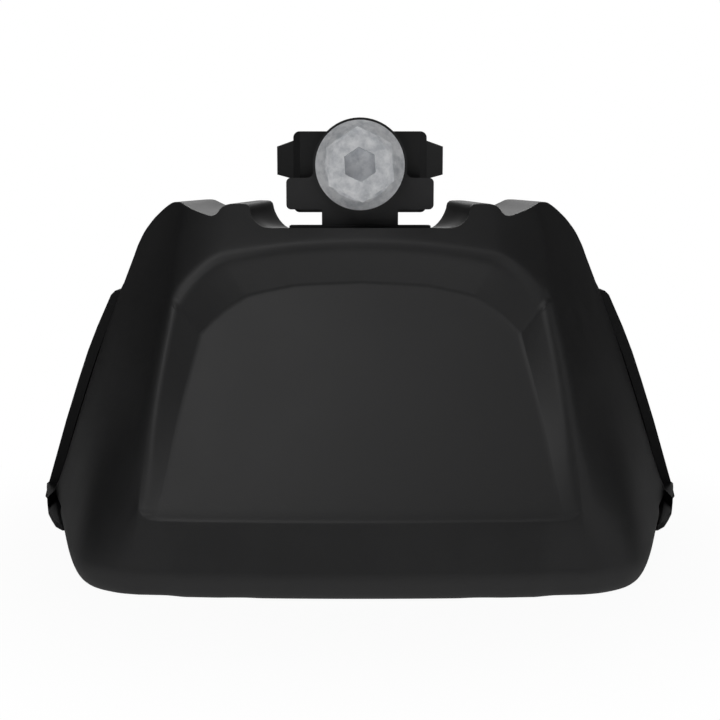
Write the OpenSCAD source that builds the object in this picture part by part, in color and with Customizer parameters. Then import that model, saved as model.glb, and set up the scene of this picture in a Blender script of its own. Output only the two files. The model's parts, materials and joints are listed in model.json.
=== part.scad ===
// Mounting leg of a roof rack platform: a cast leg on a steel base plate and rubber pad,
// a rear shell, a sculpted outer cover, and a horizontal clamp bolt with its channel nut.
// X runs along the vehicle, -Y is outboard (the face with the cover), +Z is up.
// The origin is the middle of the pad's underside, between the two roof slots.

/* [Outer cover] */
// Width across the cover's side rims at the foot
cover_w = 146; // [140:1:154]
// How far the skirt stands out in front of the origin
cover_front = 44.8; // [43:0.2:48]
// Wall thickness of the moulded cover
cover_wall = 2.2; // [1.6:0.1:2.6]
// Height of the upright skirt, up to the crease under the front panel
skirt_h = 15; // [12:0.5:18]
// Height of the quarter round that tucks the skirt under at the bottom
tuck_r = 5.8; // [4:0.2:7]
// Depth of that quarter round
tuck_depth = 2.9; // [2:0.1:4]
// Half width of the front face at the skirt
face_half = 41.3; // [38:0.2:44]
// Half width of the front face at the upper corners of the ridge
face_top_half = 36.8; // [34:0.1:39]
// Height of the middle of the cover's top edge, which the casting and the clamp follow
top_mid_h = 68.4; // [66:0.1:71]
// Drop from there to the ridge over the panel, at mid width
ridge_drop = 3.3; // [3:0.1:4]
// Rise of the two lugs over the middle
lug_rise = 4.8; // [4:0.1:6]
// Half width of the open channel between the lugs
channel_half = 22.6; // [21:0.1:24]
// Slope of the front panel, as travel back per unit of height
panel_slope = 0.56; // [0.5:0.01:0.6]
// Slope of the ridge line, as travel back per unit of height
ridge_slope = 0.465; // [0.4:0.005:0.49]

/* [Base] */
// Thickness of the rubber pad under the base plate
pad_t = 4; // [3:0.5:6]
// Thickness of the steel base plate
plate_t = 3; // [2:0.5:4]
// Length of the base plate along X
plate_l = 108; // [100:1:112]
// Width of the base plate along Y
plate_w = 48; // [44:1:52]
// Distance between the two roof slots
slot_pitch = 86; // [80:1:90]
// Width of a roof slot
slot_w = 8.8; // [8.4:0.1:9.4]
// Length of a roof slot, end to end
slot_l = 16; // [12:0.5:18]

/* [Leg casting] */
// Thickness of the casting's foot
foot_t = 6; // [5:0.5:8]
// Length of the casting's foot along X
foot_l = 66; // [60:1:68]
// Thickness of the upright wall
upright_t = 7; // [5:0.5:9]
// Width of the upright's top edge
upright_top_w = 29.2; // [26:0.2:32]
// Rise of the upright's top edge over the cover's
upright_rise = 0.3; // [0:0.1:0.6]
// Width of the neck's stem
stem_w = 15.8; // [14:0.2:18]
// Width of the neck's crossbar
bar_w = 30.5; // [28:0.5:34]
// Height of the crossbar's section
bar_h = 6.5; // [5:0.1:8]
// Thickness of the ribs
rib_t = 4; // [3:0.5:5]

/* [Clamp] */
// Height of the clamp bolt's axis over the cover's top edge
neck_rise = 12.6; // [12:0.1:14]
// Thread diameter of the clamp bolt
bolt_d = 8; // [8:0.1:8.2]
// Diameter of the bolt's flange
flange_d = 18.2; // [17:0.1:19]
// Width across the flats of the bolt's head
head_af = 13; // [12.5:0.1:13.2]
// Diameter of the boss under the bolt's head
boss_d = 19.4; // [18.8:0.1:20]
// Radial running clearance round the bolt
bolt_play = 0.06; // [0.02:0.01:0.1]
// Width of the channel nut's block
nut_w = 28.4; // [26:0.2:30]
// Height of the channel nut's block
nut_h = 17; // [15.5:0.1:18]
// Width across the channel nut's ears
ear_span = 35.8; // [33:0.2:38]

/* [Fasteners] */
// Diameter of the two bolts that hold the casting to the base plate
foot_bolt_d = 8; // [6:1:8]
// Distance between those two bolts
foot_bolt_pitch = 48; // [44:1:50]
// Diameter of the four screws of the rear shell
shell_screw_d = 4; // [3.5:0.1:4.5]

/* [Hidden] */
$fn = 48;

// Cover surface
rim_half = cover_w / 2;
base_gap = 0.3;
ridge_h = top_mid_h - ridge_drop;
lug_h = top_mid_h + lug_rise;
bolt_z = top_mid_h + neck_rise;
upright_h = top_mid_h + upright_rise;
rear_y = 38;

function mix(a, b, t) = a + (b - a) * t;
function clamp01(t) = min(1, max(0, t));
function step01(t) = let (u = clamp01(t)) u * u * (3 - 2 * u);
function smax(a, b, r) = (a + b + sqrt((a - b) * (a - b) + r * r)) / 2;
// A smooth run through listed values: each entry is [station, value, ...].
function seg(l, k, i = 0) = (i >= len(l) - 2 || k < l[i + 1][0]) ? i : seg(l, k, i + 1);
function at(l, k) = let (i = seg(l, k), t = clamp01((k - l[i][0]) / (l[i + 1][0] - l[i][0])))
  [mix(l[i][1], l[i + 1][1], t), mix(l[i][2], l[i + 1][2], t)];
function at1(l, k) = let (i = seg(l, k), t = clamp01((k - l[i][0]) / (l[i + 1][0] - l[i][0])))
  mix(l[i][1], l[i + 1][1], t);
function tangent(l, i) = i == 0 ? l[1] - l[0] : i == len(l) - 1 ? l[i] - l[i - 1] :
  (l[i + 1] - l[i - 1]) / (l[i + 1][0] - l[i - 1][0]);
function smooth(l, k) = let (i = seg(l, k), d = l[i + 1][0] - l[i][0],
  t = clamp01((k - l[i][0]) / d), a = l[i], b = l[i + 1],
  ta = tangent(l, i) / (i == 0 ? d : 1), tb = tangent(l, i + 1) / (i == len(l) - 2 ? d : 1),
  p = a * (2*t*t*t - 3*t*t + 1) + ta * d * (t*t*t - 2*t*t + t)
    + b * (3*t*t - 2*t*t*t) + tb * d * (t*t*t - t*t)) [p[1], p[2]];

// Front face: panel plane, ridge plane and skirt, each as the travel back at x, z.
front_bow = 0.001;
skirt_top_y = -cover_front + 0.25 * (skirt_h - tuck_r);
function y_skirt(x, z) = -cover_front + 0.25 * (z - tuck_r) + front_bow * x * x;
function y_panel(x, z) = skirt_top_y + panel_slope * (z - skirt_h) + front_bow * x * x;
function y_ridge(x, z) = skirt_top_y + ridge_slope * (z - skirt_h) + front_bow * x * x;
brow_slope = 0.95;
// Height of the ridge over the panel at x, and the brow that rises from it.
function ridge_z(x) = ridge_h - 0.0035 * x * x - 0.11 * pow(max(x - 27, 0), 1.75);
ridge_corner_h = ridge_z(face_top_half);
function y_brow(x, z) = y_ridge(x, z) + (brow_slope - ridge_slope) * (z - ridge_z(x));
function y_front(x, z) = smax(smax(y_skirt(x, z), y_ridge(x, z), 0.4), y_brow(x, z), 0.6);
// Where the front face turns into the side face.
function x_turn(z) = z < ridge_corner_h
  ? face_top_half + (face_half - face_top_half) * (1 - pow(clamp01((z - 4) / (ridge_corner_h - 4)), 2.2))
  : face_top_half + 8.2 * (1 - exp(-pow((z - ridge_corner_h) / 5.3, 1.3)));
// Side rim: half width and travel back.
function x_rim(z) = let (d = max(z - 4, 0)) rim_half - 0.28 * d - 0.00105 * d * d;
function y_rim(z) = 25 + 0.06 * z;
function side_run(u, z) = let (w = step01((z - 7) / 18), a = 0.45 * w, p = 2.35 - 0.75 * w)
  a * u + (1 - a) * pow(u, p);
function y_outer(x, z) = let (xt = x_turn(z), xr = x_rim(z))
  x <= xt ? y_front(x, z) : let (y0 = y_front(xt, z), u = clamp01((x - xt) / (xr - xt)))
  y0 + (y_rim(z) - y0) * side_run(u, z);

// Stations run from 0 at the bottom middle, up the side, to 18 at the top middle.
// Edge of the recessed panel.
panel_foot = skirt_h + 1.4;
panel_a = [[0, 0, panel_foot], [1, 18, panel_foot], [2, 33.5, panel_foot], [3, 36.9, panel_foot + 1.6],
  [4, 36.8, 21], [5, 36.4, 24.5], [6, 35.8, 28.5], [7, 34.8, 34], [8, 33.5, 40], [9, 32.5, 44.5],
  [10, 31.9, 47.5]];
panel_b = [[10, 31.9, 47.5], [11, 29.3, 50.2], [12, 26.4, 52.6], [13, 22.9, 54.8]];
panel_c = [[13, 22.9, 54.8], [14, 20, 55.6], [15, 17.6, 56.1], [16, 15, 56.6], [17, 12, 57.05],
  [18, 0, 57.6]];
function panel_xz(k) = k <= 10 ? smooth(panel_a, k) : k <= 13 ? smooth(panel_b, k) : smooth(panel_c, k);
// Ridge line.
ridge_low = [[0, 0, skirt_h], [2, 38, skirt_h], [2.6, 40.4, skirt_h + 0.7], [3, face_half, skirt_h + 2]];
ridge_side = [[3, skirt_h + 2, 0], [4, 20, 0], [5, 24, 0], [6, 28.5, 0], [7, 35, 0], [8, 43.5, 0],
  [9, 51, 0], [10, ridge_corner_h, 0]];
ridge_top = [[10, face_top_half, 0], [11, 34.6, 0], [12, 31.6, 0], [13, 27.8, 0], [14, 24.5, 0],
  [15, 21.8, 0], [16, 19, 0], [17, 15.6, 0], [18, 0, 0]];
function ridge_xz(k) = k <= 3 ? at(ridge_low, k) :
  k <= 10 ? let (z = at1(ridge_side, k)) [x_turn(z), z] : let (x = at1(ridge_top, k)) [x, ridge_z(x)];
// Outer edge of the front and side faces.
c = channel_half;
// Columns from this station on stop at a short lip, so the channel's floor is open for the casting.
mouth_k = 17.1;
mouth_lip = 3;
edge = [[0, 0, tuck_r], [1, 21, tuck_r], [2, 38, tuck_r], [3, 49, tuck_r], [4, 59, tuck_r],
  [5, 67.5, tuck_r], [5.6, rim_half - 2, tuck_r], [6, rim_half, tuck_r + 0.6], [6.5, x_rim(10), 10],
  [7, x_rim(18), 18], [8, x_rim(36.5), 36.5], [9, x_rim(53), 53], [9.5, x_rim(60), 60],
  [9.8, 51.6, 63.8], [9.9, 48.4, 65.6], [10, 45.2, 66.9], [10.5, 44.7, 68],
  [11, 43.9, 69.3], [11.3, 42.8, 70.8], [11.6, 41.3, 72.1], [11.8, 40.1, 73], [12, 39, 73.45],
  [12.15, 38, 73.4], [12.3, 36.9, 72.95], [12.6, 34.5, 71.9], [12.85, 32, 71.1],
  [13, 30.8, 70.75], [13.15, 30, 70.8], [13.3, 29.4, 71.2], [13.5, 28.8, 72.1], [13.7, 28, 72.8],
  [13.9, 27, lug_h - 0.05], [14, 26.4, lug_h], [14.6, c + 1.8, lug_h], [14.9, c + 0.9, lug_h - 0.05],
  [15, c + 0.3, lug_h - 0.3], [15.15, c, lug_h - 0.8], [15.5, c - 0.2, top_mid_h + 3],
  [15.8, c - 0.6, top_mid_h + 2.1], [16.1, c - 1.3, top_mid_h + 1.25], [16.4, c - 2.3, top_mid_h + 0.55],
  [16.7, c - 3.4, top_mid_h + 0.1], [17, c - 4.6, top_mid_h],
  [mouth_k, c - 6, top_mid_h], [17.4, 12, top_mid_h], [18, 0, top_mid_h]];
// Stations of the mesh's columns, one per entry of the edge and one between the wide ones.
cols = [0, 0.5, 1, 1.5, 2, 2.3, 2.6, 3, 3.5, 4, 4.5, 5, 5.3, 5.6, 6, 6.5, 7, 7.5, 8, 8.5, 9, 9.5,
  9.8, 9.9, 10, 10.5, 11, 11.3, 11.6, 11.8, 12, 12.15, 12.3, 12.6, 12.85, 13, 13.15, 13.3, 13.5, 13.7,
  13.9, 14, 14.6, 14.9, 15, 15.15, 15.5, 15.8, 16.1, 16.4, 16.7, 17, mouth_k, 17.4, 17.7, 18];
// Rows: 0 to 1 on the panel, 1 to 2 up to the ridge, 2 to 3 to the edge, 3 to 4 round or back.
rows = [0.4, 0.8, 0.96, 1.04, 1.4, 1.7, 1.86, 2, 2.06, 2.14, 2.28, 2.5, 2.8, 3, 3.2, 3.45, 3.72, 4];
panel_mid = [0, 34];

function y_inside(x, z) = smax(y_panel(x, z), y_skirt(x, z), 0.4);
// Rounding of the ridge, wider up the sides than over the panel and at the foot.
crest_r = [[0, 0.5, 0], [3, 0.6, 0], [4, 0.9, 0], [6, 1.3, 0], [8, 1.8, 0], [10, 1.9, 0], [11.5, 1.6, 0],
  [13, 1.1, 0], [15, 0.9, 0], [18, 0.8, 0]];
function recess_y(k, p, t) = let (q = panel_xz(k), r = ridge_xz(k), yq = y_inside(q[0], q[1]),
  yr = y_outer(r[0], r[1]), s = t <= 2 ? t - 1 : 1 + norm(p - r) / norm(r - q))
  yq + (yr - yq) * s;
// A point of the front and side faces, for rows up to 3.
function face_pt(k, t) = let (q = panel_xz(k), r = ridge_xz(k), e = at(edge, k),
  p = t <= 1 ? panel_mid + (q - panel_mid) * t : t <= 2 ? q + (r - q) * (t - 1)
    : r + (e - r) * (t - 2) + [1.8, -1.45] * max(0, 1 - abs(k - 10)) * sin(180 * (t - 2)))
  t <= 1 ? [p[0], y_inside(p[0], p[1]), p[1]]
  : [p[0], smax(recess_y(k, p, t), y_outer(p[0], p[1]), at1(crest_r, k) * min(1, (t - 1) * 2)), p[1]];
// Where each column ends: under the foot, past the side rim, or at the back of the roof.
function plan_in(k) = let (a = face_pt(max(k - 0.1, 0), 3), b = face_pt(k + 0.1, 3))
  unit([a[1] - b[1], b[0] - a[0], 0]);
function end_pt(k, e) =
  k <= 5 ? let (n = plan_in(k), d = tuck_depth * (1 - 0.3 * step01((k - 2) / 3)))
    [e[0] + n[0] * d, e[1] + n[1] * d, mix(base_gap, 2, step01((k - 3) / 2))]
  : k < 6.5 ? [e[0] + 0.4 - (6.5 - k) * 2, mix(e[1] + 2.1, e[1] + 2.4, (k - 5) / 1.5),
      mix(2, e[2], step01((k - 5) / 1.5))]
  : k <= 9 ? [e[0] + 0.6, e[1] + 2.6, e[2]]
  : k >= mouth_k ? [e[0], e[1] + mouth_lip, e[2] - 0.1]
  : k <= 9.8 ? let (t = (k - 9) / 0.8) [e[0] + mix(0.6, -0.6, t), mix(e[1] + 2.6, rear_y, t), e[2] + 0.3 * t]
  : let (f = 0.94, t = step01((k - 15.4) / 1.4)) [e[0] * f - 0.4 * t, rear_y, e[2] + 0.3 - 1.9 * t];
function out_pt(k, t) = t <= 3 ? face_pt(k, t) :
  let (e = face_pt(k, 3), w = end_pt(k, e), s = t - 3)
  k <= 5 ? [mix(e[0], w[0], 1 - cos(90 * s)), mix(e[1], w[1], 1 - cos(90 * s)), mix(e[2], w[2], sin(90 * s))]
  : [mix(e[0], w[0], s), mix(e[1], w[1], s), mix(e[2], w[2], s)];

nh = len(cols);
nc = 2 * nh - 2;
nr = len(rows);
half_grid = [for (t = rows) [for (k = cols) out_pt(k, t)]];
function col_of(j) = j < nh ? j : nc - j;
function sgn_of(j) = j < nh ? 1 : -1;
outer = [for (r = half_grid) [for (j = [0:nc - 1]) let (p = r[col_of(j)]) [p[0] * sgn_of(j), p[1], p[2]]]];
pole = [0, y_inside(0, panel_mid[1]), panel_mid[1]];
function unit(v) = v / max(norm(v), 1e-9);
function normal_at(i, j) = let (a = outer[min(i + 1, nr - 1)][j], b = i > 0 ? outer[i - 1][j] : pole,
  d = outer[i][(j + 1) % nc], e = outer[i][(j + nc - 1) % nc]) unit(cross(d - e, a - b));
edge_row = search(3, rows)[0];
function inner_pt(i, j) = let (e = outer[edge_row][j], s = rows[i] - 3)
  s >= 0 && cols[col_of(j)] >= mouth_k ? [e[0], e[1] + mix(1.1, mouth_lip, s), e[2] - cover_wall]
  : outer[i][j] + cover_wall * normal_at(i, j);
inner = [for (i = [0:nr - 1]) [for (j = [0:nc - 1]) inner_pt(i, j)]];
pole_in = pole + cover_wall * unit([0, 1, -panel_slope]);

module outer_cover() {
  color([0.12, 0.12, 0.13]) polyhedron(
    points = concat([pole], [for (r = outer) each r], [pole_in], [for (r = inner) each r]),
    faces = let (m = 1 + nr * nc, o = function (i, j) 1 + i * nc + (j % nc),
      n = function (i, j) m + 1 + i * nc + (j % nc))
      concat([for (j = [0:nc - 1]) [0, o(0, j + 1), o(0, j)]],
      [for (i = [0:nr - 2], j = [0:nc - 1]) each [[o(i, j), o(i + 1, j + 1), o(i + 1, j)],
        [o(i, j), o(i, j + 1), o(i + 1, j + 1)]]],
      [for (j = [0:nc - 1]) [m, n(0, j), n(0, j + 1)]],
      [for (i = [0:nr - 2], j = [0:nc - 1]) each [[n(i, j), n(i + 1, j), n(i + 1, j + 1)],
        [n(i, j), n(i + 1, j + 1), n(i, j + 1)]]],
      [for (j = [0:nc - 1]) each [[o(nr - 1, j), n(nr - 1, j + 1), n(nr - 1, j)],
        [o(nr - 1, j), o(nr - 1, j + 1), n(nr - 1, j + 1)]]]));
}

// Base
plate_top = pad_t + plate_t;
foot_top = plate_top + foot_t;
shell_front = 31.4;
shell_wall = 2.4;
foot_bolt_y = 8;
sides = [-1, 1];

module rounded_plan(l, w, r) {
  hull() for (a = [-1, 1], b = [-1, 1]) translate([a * (l / 2 - r), b * (w / 2 - r)]) circle(r);
}
module slot_plan(l, w) {
  square([l - w, w], center = true);
  for (a = sides) translate([a * (l - w) / 2, 0]) circle(d = w);
}
module base_pad() color([0.05, 0.05, 0.05]) difference() {
  linear_extrude(pad_t) rounded_plan(plate_l + 6, plate_w + 6, 8);
  for (a = sides) {
    translate([a * slot_pitch / 2, 0, -1]) linear_extrude(pad_t + 2) slot_plan(slot_l + 4, slot_w + 4);
    translate([a * foot_bolt_pitch / 2, foot_bolt_y, -1]) cylinder(d = nut_collar + 0.8, h = pad_t + 2);
  }
}
module base_plate() color([0.62, 0.63, 0.62]) difference() {
  translate([0, 0, pad_t]) linear_extrude(plate_t) rounded_plan(plate_l, plate_w, 6);
  for (a = sides) {
    translate([a * slot_pitch / 2, 0, pad_t - 1]) linear_extrude(plate_t + 2) slot_plan(slot_l, slot_w);
    translate([a * foot_bolt_pitch / 2, foot_bolt_y, pad_t - 1]) cylinder(d = nut_neck + 0.1, h = plate_t + 2);
  }
}
// Clinch nut: a collar under the plate and a neck pressed into it.
nut_collar = foot_bolt_d + 5.2;
nut_neck = foot_bolt_d + 2.6;
module clinch_nut(a) color([0.7, 0.7, 0.68]) translate([a * foot_bolt_pitch / 2, foot_bolt_y, 0]) difference() {
  union() {
    translate([0, 0, 0.8]) cylinder(d = nut_collar, h = pad_t - 0.8);
    translate([0, 0, pad_t - 0.01]) cylinder(d = nut_neck, h = plate_t - 0.1);
  }
  cylinder(d = foot_bolt_d + 0.1, h = plate_top + 1);
}
flat_t = 1.6;
spring_t = 2;
module foot_washer(a) color([0.75, 0.75, 0.74]) translate([a * foot_bolt_pitch / 2, foot_bolt_y, foot_top])
  difference() {
    cylinder(d = foot_bolt_d * 2, h = flat_t);
    translate([0, 0, -1]) cylinder(d = foot_bolt_d + 0.4, h = flat_t + 2);
  }
module foot_spring_washer(a) color([0.6, 0.6, 0.6])
  translate([a * foot_bolt_pitch / 2, foot_bolt_y, foot_top + flat_t]) difference() {
    cylinder(d = foot_bolt_d * 1.8, h = spring_t);
    translate([0, 0, -1]) cylinder(d = foot_bolt_d + 0.3, h = spring_t + 2);
    rotate(60) translate([foot_bolt_d / 2 - 1, -0.5, -1]) cube([foot_bolt_d, 1, spring_t + 2]);
  }
module foot_bolt(a) color([0.75, 0.75, 0.74])
  translate([a * foot_bolt_pitch / 2, foot_bolt_y, foot_top + flat_t + spring_t]) {
    intersection() {
      cylinder(d = (foot_bolt_d + 5) / cos(30), h = 5.3, $fn = 6);
      cylinder(r1 = foot_bolt_d + 4, r2 = foot_bolt_d * 0.78, h = 5.3);
    }
    translate([0, 0, 1.4 - foot_top - flat_t - spring_t])
      cylinder(d = foot_bolt_d, h = foot_top + flat_t + spring_t - 1.4);
  }

// Leg casting
boss_face = -9.4;
neck_face = -8.4;
neck_back = -1.4;
up_front = -9.5;
up_back = up_front + upright_t;
deck_top = top_mid_h - 4;
deck_back = 30;
deck_w = 31;
rib_x = 11;
screw_x = rib_x;
// Window through the upright, between the two heights of the shell screws.
window_w = 9;
screw_z = [foot_top + 9, deck_top - 14.4];
shell_seat = rear_y - shell_wall;
// Turns a shape to face outboard, with its local z running towards -Y.
module facing(y, z = bolt_z) translate([0, y, z]) rotate([90, 0, 0]) children();
module rounded_box(w, h, r) {
  hull() for (a = [-1, 1], b = [-1, 1]) translate([a * (w / 2 - r), b * (h / 2 - r)]) circle(r);
}
module leg_casting() color([0.13, 0.13, 0.14]) difference() {
  union() {
    translate([0, 0, plate_top]) linear_extrude(foot_t) rounded_plan(foot_l, plate_w - 4, 7);
    facing(up_back, 0) linear_extrude(upright_t) polygon([[-foot_l / 2 + 4, plate_top],
      [-foot_l / 2 + 4, foot_top + 6], [-upright_top_w / 2, 58], [-upright_top_w / 2, upright_h],
      [upright_top_w / 2, upright_h], [upright_top_w / 2, 58], [foot_l / 2 - 4, foot_top + 6],
      [foot_l / 2 - 4, plate_top]]);
    translate([-deck_w / 2, up_back - 0.5, deck_top - 4]) cube([deck_w, deck_back - up_back + 0.5, 4]);
    for (a = sides) {
      translate([a * rib_x - rib_t / 2, 0, 0]) rotate([90, 0, 90]) linear_extrude(rib_t)
        polygon([[up_back - 0.5, plate_top + 1], [plate_w / 2 - 6, plate_top + 1], [deck_back - 4, 40],
          [deck_back - 2, deck_top - 3], [up_back - 0.5, deck_top - 3]]);
      translate([a * 18 - rib_t / 2, 0, 0]) rotate([90, 0, 90]) linear_extrude(rib_t)
        polygon([[up_front + 0.5, foot_top - 1], [up_front + 0.5, 46], [3 - plate_w / 2, foot_top + 1],
          [3 - plate_w / 2, foot_top - 1]]);
      for (z = screw_z) translate([a * screw_x, shell_seat, z]) rotate([90, 0, 0])
        cylinder(d = shell_screw_d + 5, h = 14);
    }
    facing(neck_back, 0) linear_extrude(neck_back - neck_face) translate([-stem_w / 2, upright_h - 4])
      square([stem_w, bolt_z - upright_h + 4]);
    facing(neck_back) linear_extrude(neck_back - neck_face) offset(r = -1.4) offset(delta = 1.4) {
      translate([0, -2.5 - bar_h / 2]) rounded_box(bar_w, bar_h, 1);
      circle(d = boss_d - 0.1);
    }
    facing(neck_back) cylinder(d = boss_d, h = neck_back - boss_face);
  }
  facing(neck_back + 1) cylinder(d = bolt_d + 2 * bolt_play, h = 12);
  for (a = sides) {
    translate([a * foot_bolt_pitch / 2, foot_bolt_y, plate_top - 1]) cylinder(d = foot_bolt_d + 1, h = foot_t + 2);
    for (z = screw_z) translate([a * screw_x, shell_seat + 1, z]) rotate([90, 0, 0])
      cylinder(d = shell_screw_d + 0.1, h = 13);
  }
  facing(up_back + 1, 0) linear_extrude(upright_t + 2) polygon([[-window_w / 2, screw_z[0]],
    [window_w / 2, screw_z[0]], [window_w / 3, screw_z[1]], [-window_w / 3, screw_z[1]]]);
}
module saddle_pad() color([0.06, 0.06, 0.06]) translate([0, 0, deck_top]) linear_extrude(2)
  translate([0, (neck_back + 0.6 + deck_back - 0.6) / 2]) rounded_plan(deck_w - 1, deck_back - neck_back - 1.2, 3);

// Rear shell
// Outline of the shell's rear wall from the foot up, and of its foot flange seen from above.
shell_half = [[77.3, base_gap], [77.8, 1], [77.4, 2.6], [76.5, 5.5], [72, 20.2], [68.7, 30.1],
  [66.2, 37.2], [63.7, 43.3], [60.2, 50.9], [59.2, 51.9], [57.6, 52.1], [52, 52.1], [49.6, 54.5], [44, 59.5]];
shell_outline = concat(shell_half, [for (i = [len(shell_half) - 1:-1:0]) [-shell_half[i][0], shell_half[i][1]]]);
flange_half = [[plate_l / 2 + 3.5, 3], [66.8, 3], [69, 6], [71.3, 11.5], [73.4, 17], [75, 22.6], [76.5, 28],
  [77.3, 31.4], [77.7, 34], [77.3, rear_y - 0.4], [plate_l / 2 + 3.5, rear_y - 0.4]];
// Beside the cover's widest part the flange stands up as a lip.
flange_t = 1.3;
lip_h = 4;
lip_half = [[rim_half + 0.6, 17.6], [75, 22.6], [76.5, 28], [77.3, 31.4], [77.3, 33], [rim_half + 0.6, 33]];
module rear_shell() color([0.05, 0.05, 0.055]) difference() {
  union() {
    facing(rear_y, 0) linear_extrude(rear_y - shell_front) polygon(shell_outline);
    for (a = sides) scale([a, 1, 1]) translate([0, 0, base_gap]) {
      linear_extrude(flange_t) polygon(flange_half);
      linear_extrude(lip_h) polygon(lip_half);
    }
  }
  facing(rear_y - shell_wall, 0) linear_extrude(rear_y - shell_front) offset(delta = -shell_wall)
    polygon(shell_outline);
  for (a = sides, z = screw_z) translate([a * screw_x, rear_y + 1, z]) rotate([90, 0, 0])
    cylinder(d = shell_screw_d + 0.5, h = shell_wall + 2);
}
module shell_screw(a, z) color([0.6, 0.6, 0.6]) translate([a * screw_x, rear_y, z]) rotate([90, 0, 0]) {
  difference() {
    rotate([180, 0, 0]) cylinder(d1 = shell_screw_d * 1.9, d2 = shell_screw_d * 1.3, h = 2.4);
    rotate([180, 0, 0]) translate([0, 0, 1]) cylinder(d = 2.6, h = 3, $fn = 6);
  }
  cylinder(d = shell_screw_d, h = shell_wall + 10);
}

// Clamp
washer_t = 1.6;
head_h = 8;
head_face = boss_face - washer_t;
module clamp_washer() color([0.7, 0.7, 0.7]) facing(boss_face) difference() {
  cylinder(d = flange_d - 0.6, h = washer_t);
  translate([0, 0, -1]) cylinder(d = bolt_d + 2 * bolt_play, h = washer_t + 2);
}
module clamp_bolt() color([0.68, 0.71, 0.76]) facing(head_face) difference() {
  union() {
    rotate_extrude() polygon([[0, 0], [flange_d / 2 - 0.4, 0], [flange_d / 2, 0.4], [flange_d / 2, 0.9],
      [flange_d / 2 - 0.3, 1.2], [head_af / 2 + 0.6, 3.2], [0, 3.2]]);
    intersection() {
      rotate(34.2) cylinder(d = head_af / cos(30), h = head_h, $fn = 6);
      rotate_extrude() polygon([[0, 0], [head_af, 0], [head_af / 2 + 1.4, head_h - 1.1],
        [head_af / 2 - 0.5, head_h], [0, head_h]]);
    }
    translate([0, 0, -30]) cylinder(d = bolt_d, h = 30.5);
    translate([0, 0, -31]) cylinder(d1 = bolt_d - 1.6, d2 = bolt_d, h = 1.001);
  }
  rotate(34.2) translate([0, 0, head_h - 4]) cylinder(d = 6.05 / cos(30), h = 5, $fn = 6);
}
nut_low = bolt_z - 9.7;
nut_front = -0.9;
nut_depth = 13.5;
insert_af = 13;
insert_t = 6.5;
module channel_nut() color([0.04, 0.04, 0.045]) difference() {
  union() {
    intersection() {
      facing(nut_front + nut_depth, nut_low + nut_h / 2) linear_extrude(nut_depth) rounded_box(nut_w, nut_h, 1.3);
      translate([0, 0, nut_low - 1]) linear_extrude(nut_h + 2) polygon([[-nut_w / 2, nut_front + 1.5],
        [1.5 - nut_w / 2, nut_front], [nut_w / 2 - 1.5, nut_front], [nut_w / 2, nut_front + 1.5],
        [nut_w / 2, nut_front + nut_depth], [-nut_w / 2, nut_front + nut_depth]]);
    }
    for (a = sides) intersection() {
      facing(12, 0) linear_extrude(14) polygon([[a * (nut_w / 2 - 1), bolt_z - 2.6],
        [a * (nut_w / 2), bolt_z - 2.7], [a * ear_span / 2, bolt_z - 1.7], [a * ear_span / 2, bolt_z + 4.3],
        [a * (nut_w / 2), bolt_z + 5.5], [a * (nut_w / 2 - 1), bolt_z + 5.6]]);
      translate([0, 0, bolt_z - 6]) linear_extrude(14) polygon([[a * (nut_w / 2 - 1), nut_front + 2.4],
        [a * ear_span / 2, nut_front + 5], [a * ear_span / 2, nut_front + 8.5],
        [a * (nut_w / 2 - 1), nut_front + 10.5]]);
    }
  }
  facing(nut_front + nut_depth + 1) cylinder(d = bolt_d + 0.6, h = nut_depth + 2);
  facing(nut_front + nut_depth + 1) linear_extrude(insert_t + 1)
    square(insert_af + 0.1, center = true);
}
module nut_insert() color([0.66, 0.67, 0.66]) facing(nut_front + nut_depth) difference() {
  linear_extrude(insert_t) square(insert_af, center = true);
  translate([0, 0, -1]) cylinder(d = bolt_d + 0.1, h = insert_t + 2);
}

base_pad();
base_plate();
clinch_nut(-1);  // clinch_nut_left
clinch_nut(1);  // clinch_nut_right
leg_casting();
foot_washer(-1);  // foot_washer_left
foot_washer(1);  // foot_washer_right
foot_spring_washer(-1);  // foot_spring_washer_left
foot_spring_washer(1);  // foot_spring_washer_right
foot_bolt(-1);  // foot_bolt_left
foot_bolt(1);  // foot_bolt_right
rear_shell();
shell_screw(-1, screw_z[0]);  // shell_screw_1
shell_screw(1, screw_z[0]);  // shell_screw_2
shell_screw(-1, screw_z[1]);  // shell_screw_3
shell_screw(1, screw_z[1]);  // shell_screw_4
saddle_pad();
outer_cover();
clamp_bolt();
clamp_washer();
channel_nut();
nut_insert();
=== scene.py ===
"""Mounting leg of a roof rack platform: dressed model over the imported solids.
All lengths below are millimetres in the part's own frame, turned to metres when a mesh is made."""
import json
import math
import bpy
import numpy as np
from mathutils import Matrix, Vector


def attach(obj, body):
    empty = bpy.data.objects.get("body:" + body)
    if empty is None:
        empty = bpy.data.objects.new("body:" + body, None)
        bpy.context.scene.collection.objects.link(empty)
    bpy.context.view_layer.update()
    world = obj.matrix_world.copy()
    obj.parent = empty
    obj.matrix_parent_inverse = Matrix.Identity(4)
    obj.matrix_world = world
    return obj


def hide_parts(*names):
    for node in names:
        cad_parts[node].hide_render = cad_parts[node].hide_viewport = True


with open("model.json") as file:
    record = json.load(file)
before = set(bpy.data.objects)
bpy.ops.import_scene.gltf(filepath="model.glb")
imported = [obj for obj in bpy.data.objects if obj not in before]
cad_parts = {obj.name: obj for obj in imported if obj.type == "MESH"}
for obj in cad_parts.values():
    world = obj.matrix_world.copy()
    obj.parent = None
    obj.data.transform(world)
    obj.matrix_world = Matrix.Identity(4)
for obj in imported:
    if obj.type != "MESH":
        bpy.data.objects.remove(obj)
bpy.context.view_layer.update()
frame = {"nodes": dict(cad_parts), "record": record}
MM = 0.001

# Mesh helpers


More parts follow.
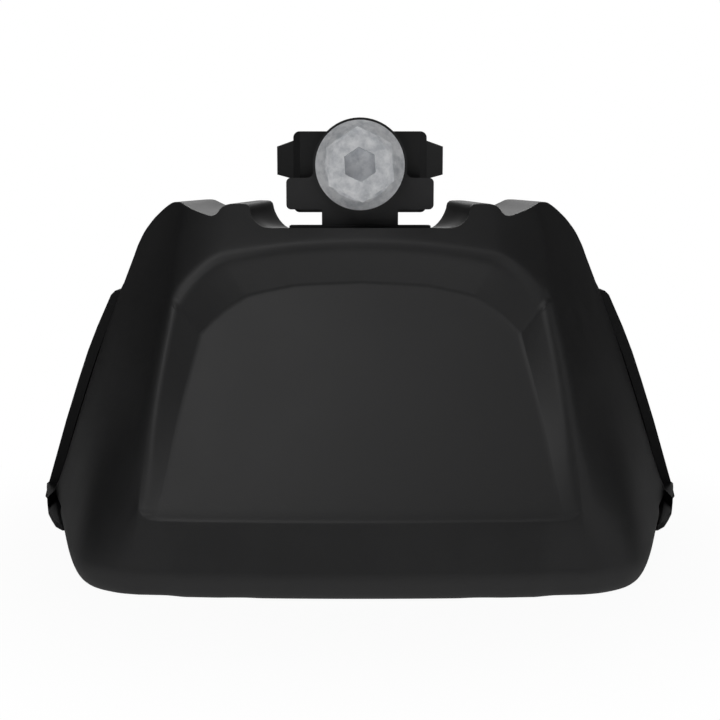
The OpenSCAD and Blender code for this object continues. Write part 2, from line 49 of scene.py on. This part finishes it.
def mesh_piece(name, points, faces, smooth=True):
    """A mesh object at the origin from points in millimetres and faces of three or four corners."""
    me = bpy.data.meshes.new(name)
    me.from_pydata(np.asarray(points, float) * MM, [], faces)
    me.polygons.foreach_set("use_smooth", np.full(len(me.polygons), smooth))
    me.update()
    ob = bpy.data.objects.new(name, me)
    bpy.context.scene.collection.objects.link(ob)
    return ob


def grid_faces(rows, cols, wrap=True, start=0, flip=False):
    """Quads between neighbouring rows of a rows x cols grid whose columns close on themselves if wrap."""
    i, j = np.meshgrid(np.arange(rows - 1), np.arange(cols if wrap else cols - 1), indexing="ij")
    k = (j + 1) % cols
    q = np.stack([i * cols + j, i * cols + k, (i + 1) * cols + k, (i + 1) * cols + j], -1).reshape(-1, 4)
    return (q[:, ::-1] if flip else q) + start


# Outer cover

COVER_W, COVER_FRONT, COVER_WALL = 146.0, 44.8, 2.2
SKIRT_H, TUCK_R, TUCK_DEPTH = 15.0, 5.8, 1.5
FACE_HALF, FACE_TOP_HALF = 42.0, 37.0
RIDGE_H, TOP_MID_H, LUG_H = 65.1, 68.4, 73.2
CHANNEL_HALF = 22.6
SKIRT_SLOPE, PANEL_SLOPE, RIDGE_SLOPE, BROW_SLOPE = 0.25, 0.60, 0.465, 0.95
BOW = 0.001
PANEL_MID_Z = 34.0
FOLD_ROUND = 0.35
RIM_HALF = COVER_W / 2
BASE_GAP = 0.3
REAR_Y = 38.0
MOUTH_K, MOUTH_LIP = 17.1, 3.0
SKIRT_TOP_Y = -COVER_FRONT + SKIRT_SLOPE * (SKIRT_H - TUCK_R)


def mix(a, b, t):
    """Straight blend from a to b."""
    return a + (b - a) * t


def step01(t):
    """Cubic ease from 0 to 1."""
    u = np.clip(t, 0, 1)
    return u * u * (3 - 2 * u)


def smax(a, b, r):
    """The greater of a and b with the corner between them rounded over about r."""
    return (a + b + np.sqrt((a - b) ** 2 + r * r)) / 2


def y_skirt(x, z):
    """Upright skirt: a plane leaning back a quarter, bowed by the square of x."""
    return -COVER_FRONT + SKIRT_SLOPE * (z - TUCK_R) + BOW * x * x


def y_panel(x, z):
    """Recessed front panel: a plane from the skirt's top, bowed by the square of x."""
    return SKIRT_TOP_Y + PANEL_SLOPE * (z - SKIRT_H) + BOW * x * x


def y_ridge(x, z):
    """Ridge round the panel: a steeper plane from the same line."""
    return SKIRT_TOP_Y + RIDGE_SLOPE * (z - SKIRT_H) + BOW * x * x


def ridge_z(x):
    """Height of the ridge over the panel: a parabola that falls away faster near the corners."""
    return RIDGE_H - 0.0035 * x * x - 0.11 * np.maximum(x - 27, 0) ** 1.75


RIDGE_CORNER_H = float(ridge_z(np.float64(FACE_TOP_HALF)))


def y_brow(x, z):
    """Brow over the ridge: it leaves the ridge's plane along the ridge line and leans back further."""
    return y_ridge(x, z) + (BROW_SLOPE - RIDGE_SLOPE) * (z - ridge_z(x))


def y_front(x, z):
    """Front face: rounded maximum of skirt, ridge and brow."""
    return smax(smax(y_skirt(x, z), y_ridge(x, z), FOLD_ROUND), y_brow(x, z), 0.6)


def x_turn(z):
    """Where the front turns into the side: a narrowing that quickens with height."""
    return FACE_TOP_HALF + (FACE_HALF - FACE_TOP_HALF) * (
        1 - np.maximum((z - 4) / (RIDGE_CORNER_H - 4), 0) ** 2.2)


def x_rim(z):
    """Half width at the side rim: a straight lean with a slight bow, a little wider at the foot."""
    d = np.maximum(z - 4, 0)
    return RIM_HALF - 0.28 * d - 0.00105 * d * d + 0.06 * np.maximum(12 - z, 0)


def y_rim(z):
    """Travel back of the side rim."""
    return 25 + 0.06 * z


def side_run(u, z):
    """Run of the side face from the turn (0) to the rim (1). At the foot it is a short front face, a
    rounded corner and a straight side; higher up it is a nearly straight lean."""
    w = step01((z - 6) / 30)
    high = np.where(u < 0, 0.45 * u, 0.45 * u + 0.55 * np.maximum(u, 0) ** 1.65)
    low = (smax(0.14 * u, 1.58 * u - 0.6, 0.2) - 0.01623) / 0.9755
    return mix(low, high, w)


def y_side(x, z):
    """Side face, for every height."""
    xt, xr = x_turn(z), x_rim(z)
    y0 = smax(y_skirt(xt, z), y_ridge(xt, z), FOLD_ROUND)
    return y0 + (y_rim(z) - y0) * side_run(np.minimum((x - xt) / (xr - xt), 1), z)


def y_outer(x, z):
    """Front face and side face, with the edge between them a little rounded."""
    return np.where(z > RIDGE_CORNER_H, smax(y_front(x, z), y_side(x, z), 0.9),
                    np.where(x <= x_turn(z), y_front(x, z), y_side(x, z)))


def y_inside(x, z):
    """Panel and skirt with the crease between them rounded."""
    return smax(y_panel(x, z), y_skirt(x, z), 0.6)


def linear_run(table, k):
    """Straight runs through a table of stations."""
    t = np.array(table, float)
    return np.stack([np.interp(k, t[:, 0], t[:, c]) for c in range(1, t.shape[1])], -1)


def smooth_run(table, k):
    """Cubic runs through a table of stations, slopes taken from the neighbours."""
    t = np.array(table, float)
    s, p = t[:, 0], t[:, 1:]
    m = np.empty_like(p)
    m[1:-1] = (p[2:] - p[:-2]) / (s[2:] - s[:-2])[:, None]
    m[0], m[-1] = (p[1] - p[0]) / (s[1] - s[0]), (p[-1] - p[-2]) / (s[-1] - s[-2])
    i = np.clip(np.searchsorted(s, k, side="right") - 1, 0, len(s) - 2)
    d = (s[i + 1] - s[i])[..., None]
    u = np.clip((k - s[i]) / (s[i + 1] - s[i]), 0, 1)[..., None]
    return (p[i] * (2 * u ** 3 - 3 * u ** 2 + 1) + m[i] * d * (u ** 3 - 2 * u ** 2 + u)
            + p[i + 1] * (3 * u ** 2 - 2 * u ** 3) + m[i + 1] * d * (u ** 3 - u ** 2))


def chord_run(table, k):
    """Cubic runs through a table of points, with slopes by chord length so that uneven steps stay smooth."""
    t = np.array(table, float)
    s, p = t[:, 0], t[:, 1:]
    h = np.maximum(np.linalg.norm(np.diff(p, axis=0), axis=1), 1e-6)
    g = np.diff(p, axis=0) / h[:, None]
    m = np.empty_like(p)
    m[0], m[-1] = g[0], g[-1]
    m[1:-1] = (g[:-1] * h[1:, None] + g[1:] * h[:-1, None]) / (h[:-1] + h[1:])[:, None]
    i = np.clip(np.searchsorted(s, k, side="right") - 1, 0, len(s) - 2)
    u = np.clip((k - s[i]) / (s[i + 1] - s[i]), 0, 1)[..., None]
    d = h[i][..., None]
    return (p[i] * (2 * u ** 3 - 3 * u ** 2 + 1) + m[i] * d * (u ** 3 - 2 * u ** 2 + u)
            + p[i + 1] * (3 * u ** 2 - 2 * u ** 3) + m[i + 1] * d * (u ** 3 - u ** 2))


PANEL_SIDE = [[0, 0, SKIRT_H], [1, 19, SKIRT_H], [2, 36.3, SKIRT_H + 0.1], [3, 37.8, SKIRT_H + 1.6],
              [4, 37.2, 20], [5, 36.5, 24], [6, 35.8, 28.5], [7, 34.8, 34], [8, 33.5, 40], [9, 32.5, 44.5],
              [10, 31.9, 47.5]]
PANEL_CORNER = [[10, 31.9, 47.5], [11, 29.3, 50.2], [12, 26.4, 52.6], [13, 22.9, 54.8]]
PANEL_TOP = [[13, 22.9, 54.8], [14, 20, 55.6], [15, 17.6, 56.1], [16, 15, 56.6], [17, 12, 57.05],
             [18, 0, 57.6]]


def panel_line(k):
    """Edge of the recessed panel: side, cut corner and top, meeting at stations 10 and 13."""
    k1 = k[..., None]
    return np.where(k1 <= 10, smooth_run(PANEL_SIDE, k),
                    np.where(k1 <= 13, smooth_run(PANEL_CORNER, k), smooth_run(PANEL_TOP, k)))


RIDGE_LOW = [[0, 0, SKIRT_H - 0.4], [1, 20, SKIRT_H - 0.4], [2, 38.5, SKIRT_H - 0.4],
             [2.3, 40, SKIRT_H - 0.1], [2.6, 40.8, SKIRT_H + 0.5],
             [3, float(x_turn(SKIRT_H + 1.6)), SKIRT_H + 1.6]]
RIDGE_SIDE_Z = [[3, SKIRT_H + 1.6], [4, 20], [5, 24], [6, 28.5], [7, 35], [8, 43.5], [9, 51],
                [10, RIDGE_CORNER_H]]
RIDGE_TOP_X = [[10, FACE_TOP_HALF], [11, 34.6], [12, 31.6], [13, 27.8], [14, 24.5], [15, 21.8], [16, 19],
               [17, 15.6], [18, 0]]


def ridge_line(k):
    """Ridge round the panel: foot, side and top."""
    low = linear_run(RIDGE_LOW, k)
    z = linear_run(RIDGE_SIDE_Z, k)[..., 0]
    side = np.stack([x_turn(z), z], -1)
    x = linear_run(RIDGE_TOP_X, k)[..., 0]
    top = np.stack([x, ridge_z(x)], -1)
    k1 = k[..., None]
    return np.where(k1 <= 3, low, np.where(k1 <= 10, side, top))


def _rim(z):
    return float(x_rim(np.float64(z)))


C = CHANNEL_HALF
EDGE = [[0, 0, TUCK_R], [1, 21, TUCK_R], [2, 38, TUCK_R], [3, 49, TUCK_R], [4, 59, TUCK_R],
        [5, 68.2, 5.2], [5.6, 72.4, 3.6], [6, 74, 3], [6.5, _rim(6.8), 6.8],
        [7, _rim(18), 18], [8, _rim(36.5), 36.5], [9, _rim(53), 53],
        [9.5, _rim(60), 60], [9.8, _rim(64), 64], [9.9, 50.9, 66.3], [10, 48.8, 68.3], [10.5, 47.1, 69.7],
        [11, 45.3, 70.9], [11.3, 43.7, 71.9], [11.6, 42, 72.8], [11.8, 40.6, 73.35], [12, 39, 73.45],
        [12.15, 38, 73.4], [12.3, 36.9, 72.95], [12.6, 34.5, 71.9], [12.85, 32, 71.1], [13, 30.8, 70.75],
        [13.15, 30, 70.8], [13.3, 29.4, 71.2], [13.5, 28.8, 72.1], [13.7, 28, 72.8],
        [13.9, 27, LUG_H - 0.05], [14, 26.4, LUG_H], [14.6, C + 1.8, LUG_H], [14.9, C + 0.9, LUG_H - 0.05],
        [15, C + 0.3, LUG_H - 0.3], [15.15, C, LUG_H - 0.8], [15.5, C - 0.2, TOP_MID_H + 3],
        [15.8, C - 0.6, TOP_MID_H + 2.1], [16.1, C - 1.3, TOP_MID_H + 1.25],
        [16.4, C - 2.3, TOP_MID_H + 0.55], [16.7, C - 3.4, TOP_MID_H + 0.1], [17, C - 4.6, TOP_MID_H],
        [MOUTH_K, C - 6, TOP_MID_H], [17.4, 12, TOP_MID_H], [18, 0, TOP_MID_H]]


# Chamfer that tops the ridge, as the depth it takes off: wider up the sides than over the panel.
CREST = [[0, 0], [2.6, 0], [3.4, 0.4], [5, 0.8], [8, 0.9], [10, 0.8], [12, 0.55], [18, 0.5]]


def face_point(k, t):
    """Front and side faces for rows t up to 3: 0 to 1 on the panel, 1 to 2 up the bevel to the ridge,
    2 to 3 out to the edge. The ridge is taken off by a chamfer halfway between the slopes of its two
    sides, by the depth in CREST. k and t broadcast; returns x, y, z."""
    q, r, e = panel_line(k), ridge_line(k), chord_run(EDGE, k)
    mid = np.array([0.0, PANEL_MID_Z])
    t1 = t[..., None]
    bulge = np.array([1.8, -1.45]) * (np.maximum(0, 1 - np.abs(k - 10)) * np.sin(np.pi * (t - 2)))[..., None]
    p = np.where(t1 <= 1, mid + (q - mid) * t1,
                 np.where(t1 <= 2, q + (r - q) * (t1 - 1), r + (e - r) * (t1 - 2) + bulge))
    x, z = p[..., 0], p[..., 1]
    yq, yr = y_inside(q[..., 0], q[..., 1]), y_outer(r[..., 0], r[..., 1])
    away, across = np.linalg.norm(p - r, axis=-1), np.linalg.norm(r - q, axis=-1)
    past = r + (r - q) * (0.8 / across)[..., None]
    rise_in = np.clip((yr - yq) / across, -0.8, -0.1)
    rise_out = (y_outer(past[..., 0], past[..., 1]) - yr) / 0.8
    bevel, outer = yq + (yr - yq) * (t - 1), y_outer(x, z)
    depth = linear_run(CREST, k)[..., 0]
    chamfer = depth + np.where(t <= 2, bevel + yr - rise_out * away, yr + rise_in * away + outer) / 2
    y_face = smax(np.where(t <= 2, bevel, outer), chamfer, 0.25 * np.minimum(1, depth / 0.3) + 0.02)
    return np.stack([x, np.where(t <= 1, y_inside(x, z), y_face), z], -1)


def edge_end(k, e):
    """Where each column ends: tucked in under the foot along the plan's normal, past the side rim,
    or at the back of the roof."""
    x, y, z = e[..., 0], e[..., 1], e[..., 2]
    a = face_point(np.maximum(k - 0.1, 0), np.full(len(k), 3.0))
    b = face_point(k + 0.1, np.full(len(k), 3.0))
    n = np.stack([a[..., 1] - b[..., 1], b[..., 0] - a[..., 0]], -1)
    depth = TUCK_DEPTH * (1 - 0.3 * step01((k - 2) / 3))
    n *= (depth / np.maximum(np.linalg.norm(n, axis=-1), 1e-9))[:, None]
    foot = np.stack([x + n[..., 0], y + n[..., 1], mix(BASE_GAP, 0.9, step01((k - 3) / 2))], -1)
    rim = np.stack([x + 0.6, y + 2.6, z], -1)
    turn = mix(foot, rim, step01((k - 5) / 1.5)[..., None])
    u = np.clip((k - 9) / 0.8, 0, 1)
    top = np.stack([x + mix(0.6, -0.6, u), mix(y + 2.6, REAR_Y, u), z + 0.3 * u], -1)
    w = step01((k - 15.4) / 1.4)
    roof = np.stack([x * 0.94 - 0.4 * w, np.full_like(x, REAR_Y), z + 0.3 - 1.9 * w], -1)
    lip = np.stack([x, y + MOUTH_LIP, z - 0.1], -1)
    k1 = k[..., None]
    return np.where(k1 <= 5, foot, np.where(k1 < 6.5, turn, np.where(k1 <= 9, rim,
           np.where(k1 <= 9.8, top, np.where(k1 < MOUTH_K, roof, lip)))))


def cover_stations(n):
    """Stations spread evenly along the edge and the panel line together, with every listed one kept."""
    k = np.linspace(0, 18, 3601)
    e, q = chord_run(EDGE, k), panel_line(k)
    s = np.concatenate([[0], np.cumsum(np.linalg.norm(np.diff(e, axis=0), axis=1)
                                       + 0.4 * np.linalg.norm(np.diff(q, axis=0), axis=1) + 0.004)])
    out = np.interp(np.linspace(0, s[-1], n), s, k)
    keep = [MOUTH_K - 0.02, MOUTH_K, 17.0]
    return np.unique(np.concatenate([out, keep]))


def outer_cover():
    """Moulded cover: the face grid, past its edge a cubic turn under the foot or a straight strip, and
    an inner wall one thickness inside along the surface normal, closed by a strip at the rim."""
    ks = cover_stations(240)
    ts = np.concatenate([np.linspace(0.04, 0.9, 8), np.linspace(0.94, 1.1, 5), np.linspace(1.16, 1.9, 9),
                         np.linspace(1.93, 2.16, 8), np.linspace(2.2, 2.94, 18), [2.965, 2.985, 3],
                         3 + np.linspace(0.04, 1, 12) ** 1.3])
    nh, nr = len(ks), len(ts)
    k, t = np.meshgrid(ks, ts)
    p = face_point(k, np.minimum(t, 3))
    e = face_point(ks, np.full(nh, 3.0))
    w = edge_end(ks, e)
    s = np.clip(t - 3, 0, 1)[..., None]
    inward = (w - e)[:, :2] / np.maximum(np.linalg.norm((w - e)[:, :2], axis=1), 1e-6)[:, None]
    fall = np.concatenate([e[:, :2] - 0.11 * TUCK_R * inward, mix(e[:, 2:], w[:, 2:], 0.45)], -1)[None]
    low = np.concatenate([mix(e[:, :2], w[:, :2], 0.1), w[:, 2:]], -1)[None]
    under = (e[None] * (1 - s) ** 3 + fall * 3 * s * (1 - s) ** 2
             + low * 3 * s * s * (1 - s) + w[None] * s ** 3)
    beyond = np.where((k <= 5)[..., None], under, mix(e[None], w[None], s))
    half = np.where((t > 3)[..., None], beyond, p)
    full = np.concatenate([half, half[:, -2:0:-1] * np.array([-1, 1, 1])], 1)
    nc = full.shape[1]
    a = full[np.minimum(np.arange(nr) + 2, nr - 1)]
    b = full[np.maximum(np.arange(nr) - 2, 0)]
    d, f = np.roll(full, -3, 1), np.roll(full, 3, 1)
    n = np.cross(d - f, a - b)
    n /= np.maximum(np.linalg.norm(n, axis=-1, keepdims=True), 1e-9)
    inner = full + COVER_WALL * n
    kc = np.concatenate([ks, ks[-2:0:-1]])
    er = int(np.argmin(np.abs(ts - 3)))
    lip = (kc >= MOUTH_K)[None, :, None] & (ts >= 3)[:, None, None]
    at_edge = full[er][None] + np.zeros_like(full)
    sl = np.clip(ts - 3, 0, 1)[:, None]
    lipped = np.stack([at_edge[..., 0], at_edge[..., 1] + mix(1.1, MOUTH_LIP, sl) + 0 * at_edge[..., 1],
                       at_edge[..., 2] - COVER_WALL], -1)
    inner = np.where(lip, lipped, inner)
    keep = np.unique(np.concatenate([np.arange(0, nr, 3), [er, nr - 1]]))
    inner = inner[keep]
    pole = np.array([[0, float(y_inside(np.float64(0), np.float64(PANEL_MID_Z))), PANEL_MID_Z]])
    pole_in = pole + COVER_WALL * np.array([[0, 1, -PANEL_SLOPE]]) / math.hypot(1, PANEL_SLOPE)
    m = 1 + nr * nc
    pts = np.concatenate([pole, full.reshape(-1, 3), pole_in, inner.reshape(-1, 3)])
    j = np.arange(nc)
    quads = np.concatenate([
        grid_faces(nr, nc, start=1, flip=True), grid_faces(len(keep), nc, start=m + 1),
        np.stack([1 + (nr - 1) * nc + j, m + 1 + (len(keep) - 1) * nc + j,
                  m + 1 + (len(keep) - 1) * nc + (j + 1) % nc, 1 + (nr - 1) * nc + (j + 1) % nc], -1)])
    tris = np.concatenate([np.stack([0 * j, 1 + (j + 1) % nc, 1 + j], -1)[:, ::-1],
                           np.stack([m + 0 * j, m + 1 + j, m + 1 + (j + 1) % nc], -1)[:, ::-1]])
    ob = mesh_piece("cover_moulding", pts, quads.tolist() + tris.tolist())
    return ob


# Materials


def material(name, base, rough, metallic=0.0, **sockets):
    """A Principled material; returns it with its tree and shader so that patterns can be added."""
    m = bpy.data.materials.new(name)
    m.use_nodes = True
    nt = m.node_tree
    sh = nt.nodes["Principled BSDF"]
    sh.inputs["Base Color"].default_value = (*base, 1)
    sh.inputs["Roughness"].default_value = rough
    sh.inputs["Metallic"].default_value = metallic
    for k, v in sockets.items():
        sh.inputs[k.replace("_", " ")].default_value = v
    return m, nt, sh


def noise(nt, scale, detail=3.0, rough=0.5):
    """A noise pattern on Object coordinates."""
    co = nt.nodes.new("ShaderNodeTexCoord")
    n = nt.nodes.new("ShaderNodeTexNoise")
    nt.links.new(co.outputs["Object"], n.inputs["Vector"])
    n.inputs["Scale"].default_value = scale
    n.inputs["Detail"].default_value = detail
    n.inputs["Roughness"].default_value = rough
    return n


def ramp(nt, source, stops):
    """Colours laid along a pattern's value."""
    r = nt.nodes.new("ShaderNodeValToRGB")
    r.color_ramp.elements[0].position, r.color_ramp.elements[0].color = stops[0][0], (*stops[0][1], 1)
    r.color_ramp.elements[1].position, r.color_ramp.elements[1].color = stops[-1][0], (*stops[-1][1], 1)
    for pos, col in stops[1:-1]:
        e = r.color_ramp.elements.new(pos)
        e.color = (*col, 1)
    nt.links.new(source, r.inputs["Fac"])
    return r.outputs["Color"]


def bump(nt, sh, height, strength, distance, after=None):
    """Relief from a pattern's value, in metres."""
    b = nt.nodes.new("ShaderNodeBump")
    b.inputs["Strength"].default_value = strength
    b.inputs["Distance"].default_value = distance
    nt.links.new(height, b.inputs["Height"])
    if after:
        nt.links.new(after.outputs["Normal"], b.inputs["Normal"])
    nt.links.new(b.outputs["Normal"], sh.inputs["Normal"])
    return b


def span(nt, value, low, high):
    """A pattern's value carried to low..high."""
    r = nt.nodes.new("ShaderNodeMapRange")
    nt.links.new(value, r.inputs["Value"])
    r.inputs["To Min"].default_value = low
    r.inputs["To Max"].default_value = high
    return r.outputs["Result"]


def moulded_plastic(name, dark, light, rough, grain, gloss=0.5):
    """Spark-textured moulding: very fine grain in relief, faint clouding of colour and gloss."""
    m, nt, sh = material(name, light, rough, Specular_IOR_Level=gloss)
    cloud = noise(nt, 60, 4)
    nt.links.new(ramp(nt, cloud.outputs["Fac"], [(0.3, dark), (0.7, light)]), sh.inputs["Base Color"])
    nt.links.new(span(nt, cloud.outputs["Fac"], rough - 0.05, rough + 0.05), sh.inputs["Roughness"])
    fine = noise(nt, 2600, 2, 0.6)
    first = bump(nt, sh, fine.outputs["Fac"], 0.35, grain)
    coarse = noise(nt, 700, 2)
    bump(nt, sh, coarse.outputs["Fac"], 0.2, grain * 2, first)
    return m


def zinc(name, dark, light, rough, scale, metallic=1.0):
    """Zinc coat: metal with mottled grey patches and uneven gloss; a dull coat is less metallic."""
    m, nt, sh = material(name, light, rough, metallic)
    patch = noise(nt, scale, 5, 0.6)
    nt.links.new(ramp(nt, patch.outputs["Fac"], [(0.35, dark), (0.62, light)]), sh.inputs["Base Color"])
    nt.links.new(span(nt, patch.outputs["Fac"], rough + 0.12, rough - 0.08), sh.inputs["Roughness"])
    bump(nt, sh, patch.outputs["Fac"], 0.3, 0.00008)
    return m


COVER_PLASTIC = moulded_plastic("cover_plastic", (0.010, 0.010, 0.0105), (0.013, 0.013, 0.0135),
                                0.52, 0.00004)
SHELL_PLASTIC = moulded_plastic("shell_plastic", (0.003, 0.003, 0.0033), (0.005, 0.005, 0.0055),
                                0.6, 0.00004, 0.3)
NUT_PLASTIC = moulded_plastic("nut_plastic", (0.004, 0.004, 0.0045), (0.006, 0.006, 0.0065), 0.45, 0.00002)
CAST_BLACK = moulded_plastic("cast_black", (0.014, 0.014, 0.015), (0.02, 0.02, 0.021), 0.5, 0.00006)
WASHER_BLACK = moulded_plastic("washer_black", (0.008, 0.008, 0.009), (0.012, 0.012, 0.013), 0.4, 0.00002)
PAD_RUBBER = moulded_plastic("pad_rubber", (0.008, 0.008, 0.008), (0.012, 0.012, 0.012), 0.7, 0.00005)
BOLT_GALV = zinc("bolt_galvanised", (0.58, 0.6, 0.63), (0.9, 0.91, 0.93), 0.5, 420, 0.25)
FASTENER_ZINC = zinc("fastener_zinc", (0.45, 0.45, 0.42), (0.66, 0.66, 0.62), 0.3, 200)
PLATE_STEEL = zinc("plate_steel", (0.42, 0.43, 0.43), (0.6, 0.61, 0.61), 0.36, 90)
INSERT_STEEL = zinc("insert_steel", (0.4, 0.4, 0.38), (0.56, 0.56, 0.54), 0.34, 200)

FINISH = {"cover_plastic": COVER_PLASTIC, "shell_plastic": SHELL_PLASTIC, "nut_plastic": NUT_PLASTIC,
          "cast_black": CAST_BLACK, "washer_black": WASHER_BLACK, "pad_rubber": PAD_RUBBER,
          "bolt_galvanised": BOLT_GALV, "fastener_zinc": FASTENER_ZINC, "plate_steel": PLATE_STEEL,
          "insert_steel": INSERT_STEEL}
for part in frame["record"]["subparts"]:
    node = frame["nodes"][part["node"]]
    node.data.materials.clear()
    node.data.materials.append(FINISH[part["material_slot"]])


def dress(piece, body, finish, *nodes):
    """A finished piece: its material, the body it rides on and the solids it stands for."""
    piece.data.materials.append(FINISH[finish])
    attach(piece, body)
    if nodes:
        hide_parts(*nodes)


dress(outer_cover(), "cover", "cover_plastic", "outer_cover")

# Stage, light and camera


def stage_floor():
    """Pale floor. The camera sees it as white, with a faint shadow kept close round the object; for all
    other rays a strip in front is painted with a soft glow that stands in for a lit studio floor, and lights
    the tucked-in foot."""
    me = bpy.data.meshes.new("floor")
    s = 6.0
    me.from_pydata([(-s, -s, 0), (s, -s, 0), (s, s, 0), (-s, s, 0)], [], [(0, 1, 2, 3)])
    ob = bpy.data.objects.new("floor", me)
    bpy.context.scene.collection.objects.link(ob)
    m, nt, sh = material("floor_white", (0.8, 0.8, 0.8), 0.9)
    out = nt.nodes["Material Output"]
    place = nt.nodes.new("ShaderNodeTexCoord")
    split = nt.nodes.new("ShaderNodeSeparateXYZ")
    nt.links.new(place.outputs["Object"], split.inputs[0])
    away = nt.nodes.new("ShaderNodeVectorMath")
    away.operation = "LENGTH"
    nt.links.new(place.outputs["Object"], away.inputs[0])
    white = emission(nt, 1.0)
    kept = nt.nodes.new("ShaderNodeMixShader")
    nt.links.new(ease(nt, away.outputs["Value"], 0.05, 0.12, 0.95, 1.0), kept.inputs[0])
    nt.links.new(sh.outputs[0], kept.inputs[1])
    nt.links.new(white.outputs[0], kept.inputs[2])
    # Painted glow: the floor in front glows for all but camera rays, standing in for a lit floor's light and
    # reflection.
    strip = emission(nt, 0.0)
    nt.links.new(ease(nt, split.outputs["Y"], -0.02, -0.06, 0.0, 0.5), strip.inputs["Strength"])
    lit = nt.nodes.new("ShaderNodeAddShader")
    nt.links.new(sh.outputs[0], lit.inputs[0])
    nt.links.new(strip.outputs[0], lit.inputs[1])
    path = nt.nodes.new("ShaderNodeLightPath")
    pick = nt.nodes.new("ShaderNodeMixShader")
    nt.links.new(path.outputs["Is Camera Ray"], pick.inputs[0])
    nt.links.new(lit.outputs[0], pick.inputs[1])
    nt.links.new(kept.outputs[0], pick.inputs[2])
    nt.links.new(pick.outputs[0], out.inputs[0])
    me.materials.append(m)


def emission(nt, strength):
    """A white glow."""
    e = nt.nodes.new("ShaderNodeEmission")
    e.inputs["Color"].default_value = (1, 1, 1, 1)
    e.inputs["Strength"].default_value = strength
    return e


def ease(nt, value, start, end, low, high):
    """A value carried smoothly from low at start to high at end."""
    r = nt.nodes.new("ShaderNodeMapRange")
    r.interpolation_type = "SMOOTHSTEP"
    nt.links.new(value, r.inputs["Value"])
    for socket, v in zip(("From Min", "From Max", "To Min", "To Max"), (start, end, low, high)):
        r.inputs[socket].default_value = v
    return r.outputs["Result"]


def world_light():
    """A near-dark studio that the camera sees as white."""
    w = bpy.data.worlds.new("studio")
    bpy.context.scene.world = w
    w.use_nodes = True
    nt = w.node_tree
    bg = nt.nodes["Background"]
    bg.inputs[0].default_value = (1, 1, 1, 1)
    path = nt.nodes.new("ShaderNodeLightPath")
    seen = nt.nodes.new("ShaderNodeMapRange")
    nt.links.new(path.outputs["Is Camera Ray"], seen.inputs["Value"])
    seen.inputs["To Min"].default_value = 0.015
    seen.inputs["To Max"].default_value = 1.0
    nt.links.new(seen.outputs[0], bg.inputs[1])


def softbox(name, place, aim, width, height, power):
    """A rectangular lamp at place, turned to aim; metres and watts."""
    data = bpy.data.lights.new(name, "AREA")
    data.shape = "RECTANGLE"
    data.size, data.size_y, data.energy = width, height, power
    ob = bpy.data.objects.new(name, data)
    bpy.context.scene.collection.objects.link(ob)
    ob.location = place
    ob.rotation_euler = (Vector(aim) - Vector(place)).to_track_quat("-Z", "Y").to_euler()
    return ob


stage_floor()
world_light()
AIM = (0, -0.02, 0.04)
BOX = 0.5
for lamp, place, power in (("key", (-0.45, -0.75, 0.95), 3.0), ("over_camera", (0, -0.6, 1.1), 1.2),
                           ("fill", (0.45, -0.75, 0.95), 0.6), ("side", (1.1, -0.3, 0.5), 1.0)):
    softbox(lamp, place, AIM, BOX, BOX, power)
# The lamp behind shows only as a sheen on the cover's roof, and doesn't light the floor.
softbox("behind", (0, 0.8, 0.8), (0, 0.02, 0.06), BOX, BOX, 5.0).visible_diffuse = False

# Camera matched to the photograph: focal length and drop of the horizon in pixels of a 720 picture.
FOCAL_PX, HORIZON_PX, PICTURE_PX = 1225, 170, 720
camera = bpy.data.cameras.new("camera")
camera.sensor_width, camera.lens = 36.0, 36.0 * FOCAL_PX / PICTURE_PX
camera.clip_start = 0.01
eye = bpy.data.objects.new("camera", camera)
bpy.context.scene.collection.objects.link(eye)
eye.location = (0, -0.264, 0.076)
eye.rotation_euler = (math.pi / 2 - math.atan(HORIZON_PX / FOCAL_PX), 0, 0)
bpy.context.scene.camera = eye
bpy.context.scene.view_settings.view_transform = "Standard"
